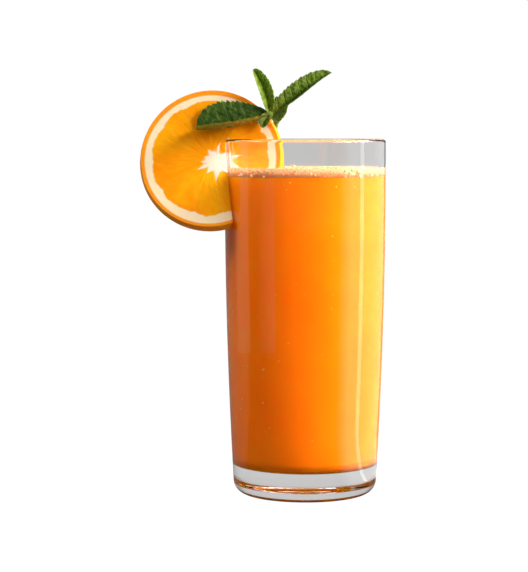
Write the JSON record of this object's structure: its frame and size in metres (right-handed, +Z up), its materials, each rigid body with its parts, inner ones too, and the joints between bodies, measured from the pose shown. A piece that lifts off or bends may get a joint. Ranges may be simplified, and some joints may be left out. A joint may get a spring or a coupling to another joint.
{
  "type": "glass of orange juice",
  "caption": "Tall clear tumbler of orange juice with a froth ring, an orange slice on its rim and a sprig of mint.",
  "frame": {"origin": "centre of the glass's underside, on the glass's axis", "axes": "+Z up along the glass's axis; -Y is the front; the slice hangs on the rim towards -X"},
  "size_m": [0.1103, 0.0722, 0.1914],
  "materials": {
    "glass": "clear, polished",
    "juice": "opaque drink, stands in for juice",
    "froth": "fine bubbles, stands in for froth",
    "orange": "moist fruit, stands in for orange flesh, pith and rind",
    "mint": "satin leaf, stands in for mint"
  },
  "bodies": {
    "root": {"glass": "glass", "juice": "juice", "froth": "froth", "orange_slice": "orange", "mint_sprig": "mint"}
  },
  "joints": []
}
